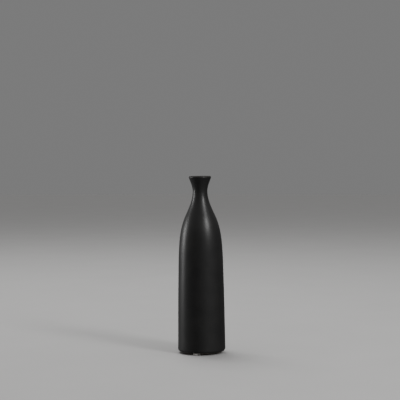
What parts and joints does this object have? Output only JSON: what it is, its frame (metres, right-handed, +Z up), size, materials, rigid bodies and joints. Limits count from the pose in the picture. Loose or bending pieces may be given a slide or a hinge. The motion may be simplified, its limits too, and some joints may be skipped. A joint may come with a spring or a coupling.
{
  "type": "bud vase",
  "caption": "Slim bottle-shaped bud vase with a narrow flared neck, matte black glaze and stick-on pads under the foot.",
  "frame": {"origin": "on the table, under the middle of the foot", "axes": "+Z up towards the mouth, -Y towards the front, where the visible pad is; the neck leans 0.63 degrees towards -X"},
  "size_m": [0.0759, 0.076, 0.2831],
  "materials": {
    "clay": "bare fired dark stoneware, slightly gritty",
    "black_glaze": "satin matte black glaze with faint throwing rings",
    "lining_glaze": "glossier black lining glaze",
    "pad": "cloudy clear soft bumper",
    "adhesive": "thin pressure-sensitive adhesive"
  },
  "bodies": {
    "root": {"vase_body": "clay", "exterior_glaze": "black_glaze", "interior_glaze": "lining_glaze", "foot_pad_1": "pad", "foot_pad_2": "pad", "foot_pad_3": "pad", "pad_adhesive_1": "adhesive", "pad_adhesive_2": "adhesive", "pad_adhesive_3": "adhesive"}
  },
  "joints": []
}
